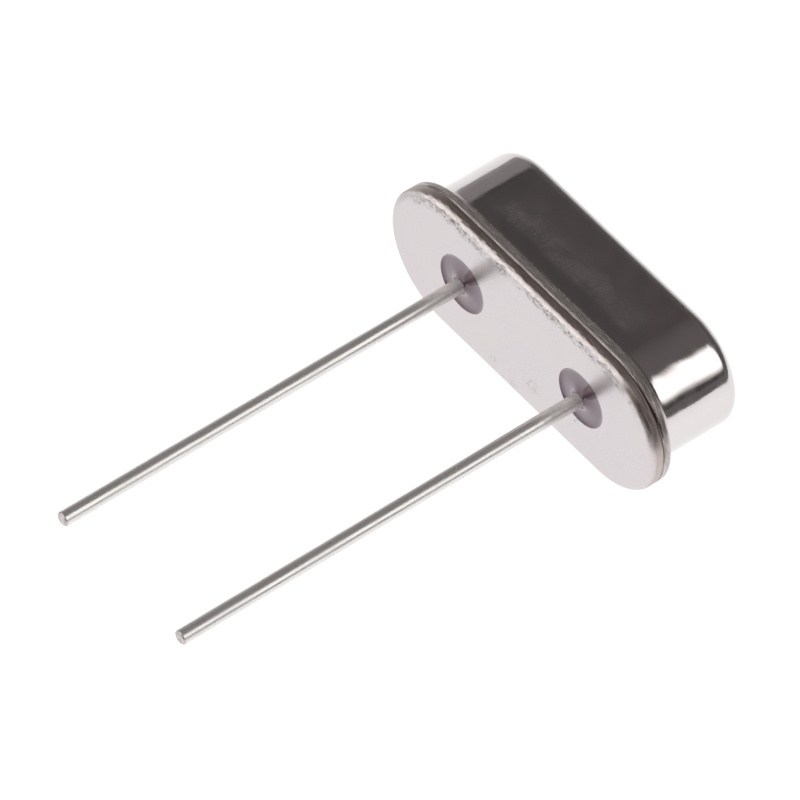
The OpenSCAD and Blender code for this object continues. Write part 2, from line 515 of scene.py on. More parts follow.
class Wiring(Tree):
    """A material's node tree with its Principled shader."""

    def __init__(self, name: str, seat: Seat) -> None:
        """Starts a material whose patterns are in upright millimetres.

        Args:
            name: The material's name.
            seat: The upright frame.
        """
        self.material = bpy.data.materials.new(name)
        self.material.use_nodes = True
        super().__init__(self.material.node_tree)
        self.shader = self.nodes["Principled BSDF"]
        shift, turn = seat.pattern_turn()
        place = self.put("ShaderNodeTexCoord").outputs["Object"]
        scale = (1 / MILLIMETRE,) * 3
        node = self.put(
            "ShaderNodeMapping", Vector=place, Location=shift, Rotation=turn, Scale=scale
        )
        self.upright = node.outputs["Vector"]

    def noise(self, pattern: Pattern) -> Socket:
        """Adds fractal noise.

        Args:
            pattern: Its measures.

        Returns:
            The noise, from 0 to 1.
        """
        where = self.upright
        if pattern.stretch:
            node = self.put("ShaderNodeMapping", Vector=where, Scale=pattern.stretch)
            where = node.outputs["Vector"]
        node = self.put(
            "ShaderNodeTexNoise",
            Vector=where,
            Scale=1 / pattern.size,
            Detail=pattern.octaves,
            Roughness=pattern.rough,
            Distortion=pattern.warp,
        )
        return node.outputs["Fac"]

    def blend(self, share: Socket, first: object, second: object) -> Socket:
        """Mixes two colours.

        Args:
            share: How much of the second there is.
            first: The first colour or socket.
            second: The second one.

        Returns:
            The mixed colour.
        """
        node = self.put("ShaderNodeMix", {"data_type": "RGBA"}, Factor=share)
        colours = [s for s in node.inputs if s.type == "RGBA"]
        self.feed(colours[0], first)
        self.feed(colours[1], second)
        return next(s for s in node.outputs if s.type == "RGBA")

    def bump(self, height: Socket, depth: float, under: Socket | None = None) -> Socket:
        """Adds relief.

        Args:
            height: The relief, from 0 to 1.
            depth: Its full depth, in millimetres.
            under: The relief that it lies on, or None.

        Returns:
            The bumped normal.
        """
        below = {} if under is None else {"Normal": under}
        distance = depth * MILLIMETRE
        node = self.put("ShaderNodeBump", Height=height, Strength=1.0, Distance=distance, **below)
        return node.outputs["Normal"]

    def times(self, first: object, second: object) -> Socket:
        """Multiplies two values or sockets."""
        return self.sum("MULTIPLY", first, second)

    def mark(self, name: str) -> Socket:
        """Reads one of the piece's own point attributes."""
        return self.put("ShaderNodeAttribute", {"attribute_name": name}).outputs["Fac"]

    def set(self, **sockets: object) -> None:
        """Sets or links the Principled shader's inputs by name, with _ for a space."""
        for key, value in sockets.items():
            self.feed(self.shader.inputs[key.replace("_", " ")], value)


@dataclass(frozen=True)
class Finish:
    """What every finish has: a name, and a way to make its material."""

    name: str = "finish"

    def material(self, seat: Seat) -> Material:
        """Makes the finish's material.

        Args:
            seat: The upright frame.

        Returns:
            The material.
        """
        wiring = Wiring(self.name, seat)
        self.paint(wiring)
        return wiring.material

    def paint(self, w: Wiring) -> None:
        """Wires the shader, in each finish's own way."""
        raise NotImplementedError


STREAKS = Pattern(0.16, 4, 0.7, 0.0, (0.22, 0.22, 3.4))


@dataclass(frozen=True)
class DrawnPlating(Finish):
    """Bright nickel over a deep-drawn steel cup: scuffed flanks, draw lines, a streaked flange
    with painted shade in the weld seam's groove below it.

    Roughness is polish to haze, plus scuff where rubbed, stretch where drawn and the weld's own.
    """

    name: str = "drawn_nickel_plating"
    bright: Colour = (0.74, 0.70, 0.70, 1.0)
    dull: Colour = (0.56, 0.525, 0.515, 1.0)
    baked: Colour = (0.44, 0.395, 0.37, 1.0)
    # The weld's scorch colour, also used as painted shade in the seam groove between the flanges.
    burnt_and_shade: Colour = (0.22, 0.185, 0.175, 1.0)
    polish: float = 0.08
    haze: float = 0.15
    scuff: float = 0.22
    stretch: float = 0.22
    weld_rough: Span = (0.14, 0.34)
    mottle: Pattern = Pattern(0.55, 5, 0.6, 0.6, (0.45, 1, 1))
    mottle_depth: float = 0.0014
    lines: Pattern = Pattern(0.09, 4, 0.7, 0.0, (1.0, 1.0, 0.12))
    line_depth: float = 0.0008
    grain: Pattern = Pattern(0.05, 3, 0.6)
    grain_depth: float = 0.0006
    weld_depth: float = 0.024
    strokes: Pattern = Pattern(0.14, 4, 0.6, 0.4, (1.2, 1, 0.35))
    clouds: Pattern = Pattern(0.7, 4, 0.55, 0.5)
    specks: Pattern = Pattern(0.07, 1, 0.4)

    def paint(self, w: Wiring) -> None:
        """Wires the plating, which reads the piece's weld, scuff, scorch and drawn attributes.

        Args:
            w: The material's wiring.
        """
        mottle, streaks, weld = w.noise(self.mottle), w.noise(STREAKS), w.mark("weld")
        # The scorch mark carries the weld's scorch at the flange's ends and painted shade in the
        # seam groove.
        scorch = w.times(w.mark("scorch"), w.ramp(streaks, 0.3, 0.6, 0.3, 0.95))
        dirt = w.times(weld, w.ramp(streaks, 0.36, 0.64, 0.3, 1.0))
        rubbed = w.ramp(w.noise(self.strokes), 0.2, 0.8, 0.72, 1.0)
        rubbed = w.times(rubbed, w.ramp(w.noise(self.clouds), 0.2, 0.8, 0.7, 1.0))
        rubbed = w.times(w.mark("scuff"), rubbed)
        rough = w.ramp(mottle, 0.38, 0.68, self.polish, self.haze)
        rough = w.sum("ADD", rough, w.times(rubbed, self.scuff))
        rough = w.sum("ADD", rough, w.times(weld, w.ramp(streaks, 0.3, 0.7, *self.weld_rough)))
        rough = w.sum("ADD", rough, w.times(w.mark("drawn"), self.stretch))
        relief = w.bump(mottle, self.mottle_depth)
        relief = w.bump(w.noise(self.lines), self.line_depth, relief)
        relief = w.bump(w.noise(self.grain), self.grain_depth, relief)
        relief = w.bump(w.times(weld, streaks), self.weld_depth, relief)
        specks = w.times(w.ramp(w.noise(self.specks), 0.74, 0.8), 0.5)
        plate = w.blend(dirt, w.blend(specks, self.bright, self.dull), self.baked)
        plate = w.blend(scorch, plate, self.burnt_and_shade)
        w.set(Base_Color=plate, Metallic=1.0, Roughness=rough, Normal=relief)


@dataclass(frozen=True)
class PressedPlating(Finish):
    """Satin nickel over a stamped steel base, rubbed and pitted where the welding wheels ran, with
    painted highlights on the crests of its pressed rim and painted shade in its pits.
    """

    name: str = "pressed_nickel_plating"
    bright: Colour = (0.636, 0.597, 0.614, 1.0)
    rubbed: Colour = (0.658, 0.611, 0.619, 1.0)
    # Colour of the rim's rubbed crests, lighter also as a painted highlight.
    worn: Colour = (0.84, 0.80, 0.79, 1.0)
    baked: Colour = (0.50, 0.415, 0.38, 1.0)
    # Colour of scorch and nicks, also used as painted shade in the face's pits.
    burnt_and_shade: Colour = (0.17, 0.14, 0.13, 1.0)
    satin: Span = (0.25, 0.31)
    rim_rough: float = 0.10
    dark_rough: float = 0.2
    cloud: Pattern = Pattern(1.6, 3, 0.5)
    grain: Pattern = Pattern(0.035, 2, 0.6)
    grain_depth: float = 0.0001
    rim_depth: float = 0.010
    holes: Pattern = Pattern(0.105, 5, 0.74, 0.9, (0.55, 1.15, 1))
    patches: Pattern = Pattern(0.9, 2, 0.5)
    pits: float = 0.85
    crests: Pattern = Pattern(0.13, 4, 0.7, 0.6, (0.55, 1.15, 1))
    lumps: Pattern = Pattern(0.11, 4, 0.65, 0.8, (0.55, 1.15, 1))
    lump_depth: float = 0.011
    nicks: Pattern = Pattern(0.11, 3, 0.6, 1.4)
    nick: float = 0.6

    def paint(self, w: Wiring) -> None:
        """Wires the plating, which reads the piece's weld, ridge, rim, scorch and nicked marks.

        Args:
            w: The material's wiring.
        """
        cloud, streaks = w.noise(self.cloud), w.noise(STREAKS)
        rim, weld = w.mark("rim"), w.mark("weld")
        patches = w.ramp(w.noise(self.patches), 0.36, 0.56, 0.15, 1.0)
        # Pits: burnt spots where the wheel ran, darkened further as painted shade in the pits.
        pits = w.times(w.times(weld, patches), w.ramp(w.noise(self.holes), 0.46, 0.58))
        stray = w.times(w.mark("nicked"), w.ramp(w.noise(self.nicks), 0.52, 0.62))
        scorch = w.times(w.mark("scorch"), w.ramp(streaks, 0.3, 0.6, 0.5, 1.0))
        dark = w.sum("MAXIMUM", w.times(pits, self.pits), w.times(stray, self.nick))
        dark = w.sum("MAXIMUM", dark, scorch)
        base = w.blend(w.ramp(cloud, 0.35, 0.7), self.bright, self.rubbed)
        # The pressed rim's crests: worn, and lightened as a painted highlight.
        crest = w.ramp(w.noise(self.crests), 0.36, 0.50)
        base = w.blend(w.times(w.mark("ridge"), crest), base, self.worn)
        base = w.blend(w.times(rim, w.ramp(streaks, 0.32, 0.60, 0.55, 1.0)), base, self.baked)
        rough = w.sum("ADD", w.ramp(cloud, 0.3, 0.7, *self.satin), w.times(rim, self.rim_rough))
        relief = w.bump(w.noise(self.grain), self.grain_depth)
        relief = w.bump(w.times(rim, streaks), self.rim_depth, relief)
        relief = w.bump(w.times(weld, w.noise(self.lumps)), self.lump_depth, relief)
        w.set(
            Base_Color=w.blend(dark, base, self.burnt_and_shade),
            Metallic=1.0,
            Roughness=w.sum("ADD", rough, w.times(dark, self.dark_rough)),
            Normal=relief,
        )


@dataclass(frozen=True)
class SealGlass(Finish):
    """Dark grey-mauve sealing glass, fire-polished, with faint clouds of oxide in it."""

    name: str = "seal_glass"
    body: Colour = (0.056, 0.027, 0.044, 1.0)
    cloud: Colour = (0.080, 0.048, 0.066, 1.0)
    sheen: Colour = (0.64, 0.495, 0.58, 1.0)
    clouds: Pattern = Pattern(0.5, 4, 0.6, 0.8)
    breath: Pattern = Pattern(0.12, 4, 0.6)
    ripple: Pattern = Pattern(0.3, 2, 0.5)
    depth: float = 0.001

    def paint(self, w: Wiring) -> None:
        """Wires the glass.

        Args:
            w: The material's wiring.
        """
        w.set(
            Base_Color=w.blend(w.ramp(w.noise(self.clouds), 0.35, 0.7), self.body, self.cloud),
            Roughness=w.ramp(w.noise(self.breath), 0.3, 0.7, 0.07, 0.14),
            IOR=2.3,
            Specular_Tint=self.sheen,
            Coat_Weight=0.7,
            Coat_Roughness=0.05,
            Coat_IOR=1.5,
            Normal=w.bump(w.noise(self.ripple), self.depth),
        )


@dataclass(frozen=True)
class HotTin(Finish):
    """Hot-dipped tin on a drawn wire: bright, streaked along the wire, clotted near the glass."""

    name: str = "hot_dipped_tin"
    bright: Colour = (0.84, 0.825, 0.81, 1.0)
    dull: Colour = (0.74, 0.72, 0.685, 1.0)
    core: Colour = (0.45, 0.385, 0.40, 1.0)
    metal: Span = (0.70, 0.42)
    rough: Span = (0.25, 0.34)
    streak: Pattern = Pattern(0.09, 4, 0.65, 0.0, (1, 1, 0.035))
    streak_depth: float = 0.0028
    patch: Pattern = Pattern(0.5, 4, 0.6, 0.5, (1, 1, 0.3))
    patch_depth: float = 0.003
    clots: Pattern = Pattern(0.1, 3, 0.7)
    bare: Pattern = Pattern(0.13, 3, 0.6)
    grain: Pattern = Pattern(0.03, 3, 0.6)
    grain_depth: float = 0.0006
    shear: Pattern = Pattern(0.12, 2, 0.5)
    shear_depth: float = 0.03

    def paint(self, w: Wiring) -> None:
        """Wires the tin, which reads the piece's clot and cut attributes.

        Args:
            w: The material's wiring.
        """
        patch, cut = w.noise(self.patch), w.mark("cut")
        clot = w.times(w.mark("clot"), w.ramp(w.noise(self.clots), 0.42, 0.6))
        bare = w.times(cut, w.ramp(w.noise(self.bare), 0.36, 0.62, 0.35, 1.0))
        dirt = w.sum("MAXIMUM", w.ramp(patch, 0.6, 0.74, 0.0, 0.55), clot)
        relief = w.bump(w.noise(self.streak), self.streak_depth)
        relief = w.bump(patch, self.patch_depth, relief)
        relief = w.bump(w.noise(self.grain), self.grain_depth, relief)
        relief = w.bump(w.times(cut, w.noise(self.shear)), self.shear_depth, relief)
        w.set(
            Base_Color=w.blend(bare, w.blend(dirt, self.bright, self.dull), self.core),
            Metallic=w.ramp(w.mark("clot"), 0.0, 1.0, *self.metal),
            Roughness=w.ramp(patch, 0.35, 0.7, *self.rough),
            Normal=relief,
        )


@dataclass(frozen=True)
class RibbonMetal(Finish):
    """Rolled nickel-silver ribbon, with the rolling's lines and a faint tarnish."""

    name: str = "rolled_ribbon"
    bright: Colour = (0.72, 0.66, 0.55, 1.0)
    tarnish: Colour = (0.50, 0.43, 0.33, 1.0)
    lines: Pattern = Pattern(0.04, 4, 0.7, 0.0, (0.05, 1, 0.3))
    patch: Pattern = Pattern(0.4, 4, 0.6, 0.5)
    depth: float = 0.0006

    def paint(self, w: Wiring) -> None:
        """Wires the ribbon.

        Args:
            w: The material's wiring.
        """
        lines = w.noise(self.lines)
        w.set(
            Base_Color=w.blend(w.ramp(w.noise(self.patch), 0.45, 0.75), self.bright, self.tarnish),
            Metallic=1.0,
            Roughness=w.ramp(lines, 0.3, 0.7, 0.2, 0.34),
            Normal=w.bump(lines, self.depth),
        )


@dataclass(frozen=True)
class LappedQuartz(Finish):
    """Clear synthetic quartz with a fine lapped haze on its faces."""

    name: str = "lapped_quartz"
    clear: Colour = (0.95, 0.97, 0.97, 1.0)
    tinted: Colour = (0.88, 0.92, 0.93, 1.0)
    lapping: Pattern = Pattern(0.02, 3, 0.7)
    haze: Pattern = Pattern(0.8, 3, 0.6)
    depth: float = 0.0003

    def paint(self, w: Wiring) -> None:
        """Wires the quartz.

        Args:
            w: The material's wiring.
        """
        haze = w.noise(self.haze)
        w.set(
            Base_Color=w.blend(w.ramp(haze, 0.3, 0.7), self.clear, self.tinted),
            Roughness=w.ramp(haze, 0.3, 0.7, 0.08, 0.2),
            IOR=1.544,
            Transmission_Weight=1.0,
            Normal=w.bump(w.noise(self.lapping), self.depth),
        )


@dataclass(frozen=True)
class SilverFilm(Finish):
    """Evaporated silver, bright and faintly clouded."""

    name: str = "silver_film"
    bright: Colour = (0.93, 0.92, 0.89, 1.0)
    clouded: Colour = (0.80, 0.77, 0.71, 1.0)
    cloud: Pattern = Pattern(0.6, 4, 0.6, 0.4)
    grain: Pattern = Pattern(0.02, 3, 0.7)
    depth: float = 0.0004

    def paint(self, w: Wiring) -> None:
        """Wires the silver.

        Args:
            w: The material's wiring.
        """
        cloud = w.noise(self.cloud)
        w.set(
            Base_Color=w.blend(w.ramp(cloud, 0.4, 0.75), self.bright, self.clouded),
            Metallic=1.0,
            Roughness=w.ramp(cloud, 0.3, 0.7, 0.16, 0.3),
            Normal=w.bump(w.noise(self.grain), self.depth),
        )


@dataclass(frozen=True)
class SilverEpoxy(Finish):
    """Cured conductive adhesive: silver flakes in a grey resin."""

    name: str = "conductive_adhesive"
    resin: Colour = (0.34, 0.34, 0.34, 1.0)
    flake: Colour = (0.62, 0.61, 0.59, 1.0)
    flakes: Pattern = Pattern(0.03, 2, 0.6)
    lumps: Pattern = Pattern(0.15, 3, 0.6)
    flake_depth: float = 0.002
    lump_depth: float = 0.006

    def paint(self, w: Wiring) -> None:
        """Wires the adhesive.

        Args:
            w: The material's wiring.
        """
        flakes = w.noise(self.flakes)
        lumps = w.bump(w.noise(self.lumps), self.lump_depth)
        w.set(
            Base_Color=w.blend(w.ramp(flakes, 0.5, 0.66), self.resin, self.flake),
            Metallic=w.ramp(flakes, 0.5, 0.66, 0.1, 0.8),
            Roughness=w.ramp(flakes, 0.4, 0.7, 0.65, 0.4),
            Normal=w.bump(flakes, self.flake_depth, lumps),
        )


def settle(piece: Piece, finish: Material, slot: str, *nodes: str) -> Piece:
    """Gives a new piece its finish, hangs it on the body and hides the CAD nodes it replaces.

    Args:
        piece: The piece.
        finish: Its material.
        slot: The record's material slot that it is painted from; not used.
        *nodes: The CAD nodes it replaces.

    Returns:
        The piece.
    """
    piece.data.materials.clear()
    piece.data.materials.append(finish)
    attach(piece, BODY)
    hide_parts(*nodes)
    return piece


# --------------------------------------------------------------------------------------------
# Sub-assemblies
# --------------------------------------------------------------------------------------------


@dataclass(frozen=True)
class CanCover:
    """The deep-drawn cup with its weld flange, open towards the base.

    The spans give where each mark starts and is full: heights from the root's top, the seam or
    the crown, shares of the wall's height (scuff_foot, scuff_top) or of the half-flank
    (scuff_ends), and the reach over which the crown's unevenness sets in (crown_fade).
    """

    length: float = 9.95
    width: float = 3.75
    height: float = 3.3
    sheet: float = 0.24
    shoulder_r: float = 0.38
    root_r: float = 0.12
    root_rise: float = 0.3
    side_reach: float = 0.31
    end_reach: float = 0.45
    edge_r: float = 0.04
    base_flange: float = 0.34
    bulge: float = 0.03
    uneven: float = 0.0016
    uneven_waves: Waves = Waves(0.7, 2.4, 11)
    uneven_elsewhere: float = 0.35
    crown_fade: Span = (0.0, 1.3)
    crease: float = 0.008
    crease_z: float = 0.76
    crease_width: float = 0.035
    wear: Span = (-1.2, 1.0)
    wear_waves: Waves = Waves(0.9, 4.0, 12, 16)
    weld_top: Span = (0.03, -0.12)
    weld_foot: Span = (0.03, 0.075)
    seam: Span = (0.1, 0.02)
    scuff_foot: Span = (0.12, 0.24)
    scuff_top: Span = (1.0, 0.35)
    scuff_ends: Span = (1.02, 0.75)
    drawn: Span = (-0.46, -0.26)
    drawn_flank: float = 0.2
    drawn_sides: Span = (0.6, 1.0)
    flange_fade: float = 0.1
    sharp: float = 40.0
    path: OvalPath = OvalPath()

    @property
    def half_flank(self) -> float:
        """Half the length of the drawn wall's straight flank."""
        return (self.length - self.width) / 2

    @property
    def low(self) -> float:
        """The height at which the root ends and the wall starts."""
        return self.base_flange + self.sheet + self.root_rise

    def outside(self) -> Array:
        """Draws the outside, from the weld seam up over the flange, root, wall and crown.

        Returns:
            The profile, as reach and height.
        """
        reach = self.width / 2 + self.side_reach
        seam, top = self.base_flange, self.base_flange + self.sheet
        wall, shoulder = self.width / 2, self.height - self.shoulder_r
        root = np.array([self.root_r, self.root_rise])
        return chain(
            arc((reach - self.edge_r, seam + self.edge_r), self.edge_r, -90, 0, 8),
            run((reach, seam + self.edge_r), (reach, top - self.edge_r), 5),
            arc((reach - self.edge_r, top - self.edge_r), self.edge_r, 0, 90, 8),
            run((reach - self.edge_r, top), (wall + self.root_r, top), 4),
            arc((1.0, 1.0), 1.0, -90, -180, 26) * root + np.array([wall, top]),
            run((wall, top + self.root_rise), (wall, shoulder), 26),
            arc((wall - self.shoulder_r, shoulder), self.shoulder_r, 0, 90, 18),
            run((wall - self.shoulder_r, self.height), (0.0, self.height), 12),
        )

    def inside(self) -> Array:
        """Draws the inside, from the middle of the crown out and down to the weld seam.

        Returns:
            The profile, as reach and height.
        """
        wall, roof = self.width / 2 - self.sheet, self.height - self.sheet
        inner_r, flare_r = self.shoulder_r - self.sheet, self.root_r + self.sheet
        lip = self.base_flange + flare_r
        lands = self.width / 2 + self.side_reach - self.edge_r
        return chain(
            run((0.0, roof), (wall - inner_r, roof), 6),
            arc((wall - inner_r, roof - inner_r), inner_r, 90, 0, 6),
            run((wall, roof - inner_r), (wall, lip), 6),
            arc((wall + flare_r, lip), flare_r, 180, 250, 6),
            run((wall + flare_r, self.base_flange), (lands, self.base_flange), 2),
        )

    def unevenness(self, profile: Array, outer: Array, on_wall: Array) -> Array:
        """Works out how the sheet strays: ripples, faint off the wall and none at the crown's
        middle line, and a worn crease round the root, c exp(-((z - k) / w) squared).

        Args:
            profile: The profile, as reach and height.
            outer: 1 where the profile is on the outside, else 0.
            on_wall: True where it is on the wall, above the root.

        Returns:
            How far each point is pushed out.
        """
        reach, height = profile[:, 0], profile[:, 1]
        around, whole = self.path.distance(self.half_flank, self.width / 2)
        uneven = self.uneven * self.uneven_waves.over(around[:, None], height, whole) * outer
        uneven = uneven * np.where(on_wall, 1.0, self.uneven_elsewhere)
        uneven = uneven * ease(*self.crown_fade, reach)
        worn = ease(*self.wear, self.wear_waves.over(around, 0 * around, whole))[:, None]
        crest = np.exp(-(((height - self.crease_z) / self.crease_width) ** 2))
        return uneven + self.crease * worn * crest * outer

    def marks(self, height: Array, outer: Array, climb: Array) -> dict[str, Array]:
        """Works out where the finish's marks lie: the weld's soot on the flange and root, the
        scorch at the rim's ends, the seam's scorch with painted shade in the groove between the
        flanges, the scuffs on the flanks, the drawn shoulder.

        Args:
            height: The profile's heights.
            outer: 1 where the profile is on the outside, else 0.
            climb: The share of the wall's height at each of its points.

        Returns:
            The marks by name, for each step round the oval and point of the profile.
        """
        share, out = self.path.frames()
        sideways, seam_z = np.abs(out[:, 1:]), self.base_flange
        weld = ease(*(self.low + z for z in self.weld_top), height) * outer
        weld = weld * ease(*(seam_z + z for z in self.weld_foot), height)
        flange = ease(self.low - self.flange_fade, self.low - self.root_rise, height) * outer
        # The seam mask is painted shade in the groove where the can's flange meets the base,
        # together with the weld's scorch there.
        seam = ease(*(seam_z + z for z in self.seam), height) * outer
        scuff = ease(*self.scuff_foot, climb) * ease(*self.scuff_top, climb)
        scuff = scuff * sideways**4 * ease(*self.scuff_ends, np.abs(share[:, None]))
        drawn = ease(*(self.height + z for z in self.drawn), height) * outer
        at_sides = ease(*self.drawn_sides, sideways)
        drawn = drawn * (self.drawn_flank + (1 - self.drawn_flank) * at_sides)
        # The scorch mark holds the real scorch at the ends and the seam's painted shade.
        scorch = np.maximum(self.path.scorched()[:, None] * flange, seam)
        return {"weld": weld, "scuff": scuff, "scorch": scorch, "drawn": drawn}

    def build(self, seat: Seat, finish: Material) -> Piece:
        """Builds the cup. Its flanks bulge as b (1 - s s) sin(pi t), s the share of the half-flank
        and t the share of the wall's height, and its flange reaches further at the ends.

        Args:
            seat: The upright frame.
            finish: The plating.

        Returns:
            The piece.
        """
        outside = self.outside()
        profile = chain(self.inside(), outside)
        height = profile[:, 1]
        outer = (np.arange(len(profile)) >= len(profile) - len(outside)).astype(float)
        on_wall = (profile[:, 0] >= self.width / 2 - TINY) & (outer > 0)
        rise = self.height - self.shoulder_r - self.low
        climb = np.clip((height - self.low) / rise, 0, 1) * on_wall
        flare = ease(self.low, self.low - self.root_rise - self.edge_r, height)
        half = self.half_flank + (self.end_reach - self.side_reach) * flare
        share, out = self.path.frames()
        swell = self.bulge * (1 - share[:, None] ** 2) * np.sin(math.pi * climb)
        swell = swell * np.abs(out[:, 1:])
        uneven = self.unevenness(profile, outer, on_wall & (climb > 0))
        skin = Skin("can_cover_drawn")
        grid = self.path.sweep(profile, half, swell + uneven)
        skin.add(grid, **self.marks(height, outer, climb))
        return settle(skin.finished(seat, self.sharp), finish, "can_plating", "can_cover")


@dataclass(frozen=True)
class BasePlate:
    """The stamped base: a thick plate with a raised pedestal and a hole for each seal.

    The spans give where each mark starts and is full: outward y's for pressed and wheeled, and
    for the rest distances from the seating face's edge, out over its round if above 0. The lumps
    are a level and the shares of coarse and fine waves. Each nick has a place x, y and a size.
    """

    flange_length: float = 10.85
    flange_width: float = 4.37
    flange: float = 0.34
    pedestal_length: float = 9.37
    pedestal_width: float = 3.17
    pedestal_top: float = 0.85
    face_edge_r: float = 0.15
    seam_edge_r: float = 0.05
    seal_d: float = 1.77
    lead_pitch: float = 4.88
    pressed: Span = (0.35, -0.75)
    wheeled: Span = (-0.5, -0.93)
    crinkle: float = 0.012
    crowded: float = 1.5
    coarse: Waves = Waves(0.35, 1.1, 21)
    fine: Waves = Waves(0.12, 0.3, 22)
    patches: Waves = Waves(2.0, 6.0, 23, 16)
    patch: Span = (-1.6, 0.6)
    lump: Triple = (0.6, 0.45, 0.28)
    lumpy: Span = (-0.30, -0.02)
    smooth: Span = (2.2, 1.1)
    pitted: Span = (-0.34, -0.10)
    welded: Span = (0.16, 0.02)
    ridge: Span = (0.02, 0.08)
    ridge_end: Span = (0.25, 0.16)
    rolled: Span = (0.1, 0.22)
    rolled_top: float = 0.03
    scorched: Span = (-0.12, 0.06)
    nicks: tuple[Triple, ...] = (
        (0.50, 1.26, 0.24),
        (-1.05, 1.63, 0.13),
        (-0.16, 1.96, 0.15),
        (2.30, 0.95, 0.12),
    )
    middle_steps: int = 97
    face_steps: int = 34
    crowding: float = 1.6
    sharp: float = 50.0
    path: OvalPath = OvalPath()

    @property
    def reach(self) -> float:
        """How far the seating face reaches, to where its edge's round starts."""
        return self.flange_width / 2 - self.face_edge_r

    @property
    def flange_half(self) -> float:
        """Half the length of the flange's straight flank."""
        return (self.flange_length - self.flange_width) / 2

    @property
    def pedestal_half(self) -> float:
        """Half the length of the pedestal's straight flank."""
        return (self.pedestal_length - self.pedestal_width) / 2

    def rim(self) -> Array:
        """Draws the plate's edge, from the seating face out, up past the seam and in to the top.

        Returns:
            The profile, as reach and height.
        """
        reach, foot, top = self.flange_width / 2, self.pedestal_width / 2, self.pedestal_top
        face_r, seam_r = self.face_edge_r, self.seam_edge_r
        return chain(
            arc((reach - face_r, face_r), face_r, -90, 0, 20),
            run((reach, face_r), (reach, self.flange - seam_r), 8),
            arc((reach - seam_r, self.flange - seam_r), seam_r, 0, 90, 6),
            run((reach - seam_r, self.flange), (foot, self.flange), 4),
            run((foot, self.flange), (foot, top - seam_r), 4),
            arc((foot - seam_r, top - seam_r), seam_r, 0, 90, 5),
        )

    def hardness(self) -> Array:
        """Gives how hard the rim was pressed: fully on the near flank and not on the far one."""
        return ease(*self.pressed, self.path.frames()[1][:, 1])

    def wheel(self) -> Array:
        """Gives where the welding wheel rolled the rim: the near flank, by the outward y."""
        return ease(*self.wheeled, self.path.frames()[1][:, 1])

    def relief(self, around: Array, inward: Array, pressed: Array) -> Array:
        """Gives the crumpling of the pressed rim: two sets of ripples, worn away from the edge,
        -c r p h clip(l0 + l1 coarse + l2 fine).

        Args:
            around: The distance round the rim.
            inward: The distance from the seating face's edge, outward over the round if above 0.
            pressed: How hard the rim was pressed at each point.

        Returns:
            How far each point is pushed in or out.
        """
        whole = self.path.distance(self.flange_half, self.reach)[1]
        coarse = self.coarse.over(around, inward * self.crowded, whole)
        fine = self.fine.over(around, inward * self.crowded, whole)
        patch = ease(*self.patch, self.patches.over(around, inward * 0, whole))
        reach = ease(*self.lumpy, inward)
        reach = reach * ease(*(self.face_edge_r * r for r in self.smooth), inward)
        flat, big, small = self.lump
        lump = np.clip(flat + big * coarse + small * fine, 0, 2)
        return -self.crinkle * reach * patch * pressed * lump

    def half_order(self, side: Side) -> Array:
        """Lists the path's steps on one half of the plate, in order from the middle line.

        Args:
            side: Which half.

        Returns:
            The steps' numbers.
        """
        share = self.path.frames()[0]
        kept = share * side.value >= -TINY
        first = np.flatnonzero(kept & ~np.roll(kept, 1))[0]
        return np.roll(np.arange(len(share)), -first)[: int(kept.sum())]

    def outline(self, order: Array, half: float, reach: float) -> Array:
        """Lists a half's outline: its part of the oval, then back along the middle line.

        Args:
            order: The half's steps.
            half: Half the oval's straight flank.
            reach: The radius of its ends.

        Returns:
            The outline's points.
        """
        oval = self.path.points(half, reach)[order]
        middle = np.linspace(1, -1, self.middle_steps)[1:-1]
        line = np.stack([middle * 0, middle * oval[-1, 1]], axis=1)
        return np.concatenate([oval, line])

    def half_face(self, side: Side, around: Array) -> tuple[Array, Array, Array]:
        """Works out one half of the plate's two faces and its hole: rays from the hole's rim to
        the plate's edge and middle line, p = rim + t (edge - rim), joined through the hole.

        Args:
            side: Which half.
            around: The distance round the rim at each step of the path.

        Returns:
            The half's points, the distance of each from the seating face's edge, and the path's
            steps that the half's outline takes.
        """
        order = self.half_order(side)
        low = self.outline(order, self.flange_half, self.reach)
        top_reach = self.pedestal_width / 2 - self.seam_edge_r
        top = self.outline(order, self.pedestal_half, top_reach)
        centre = np.array([side.value * self.lead_pitch / 2, 0.0])
        ray = low - centre
        hole = centre + ray / np.linalg.norm(ray, axis=1, keepdims=True) * self.seal_d / 2
        upper = np.linspace(1, 0, 9)
        wall = np.linspace(self.pedestal_top, 0, 6)[1:]
        lower = (1 - np.linspace(1, 0, self.face_steps) ** self.crowding)[1:]
        rise = np.concatenate([0 * upper + self.pedestal_top, wall, 0 * lower])
        spread = np.concatenate([upper, 0 * wall, lower])[None, :, None]
        far = np.where(rise[None, :, None] > 0, top[:, None], low[:, None])
        flat = hole[:, None] + (far - hole[:, None]) * spread
        height = np.broadcast_to(rise, flat.shape[:2])
        grid = np.concatenate([flat, height[..., None]], axis=2)
        past = np.maximum(np.abs(grid[..., 0]) - self.flange_half, 0)
        inward = np.hypot(past, grid[..., 1]) - self.reach
        inward = np.where(height > 0, -self.flange_width * 2, inward)
        spare = np.zeros(len(low) - len(order))
        near = np.broadcast_to(column(around[order], spare), inward.shape)
        pushed = self.relief(near, inward, column(self.hardness()[order], spare))
        on_line = column(0.0 * order, spare + 1)
        grid[..., 2] -= np.where((on_line > 0) | (height > 0), 0.0, pushed)
        return grid, inward, order

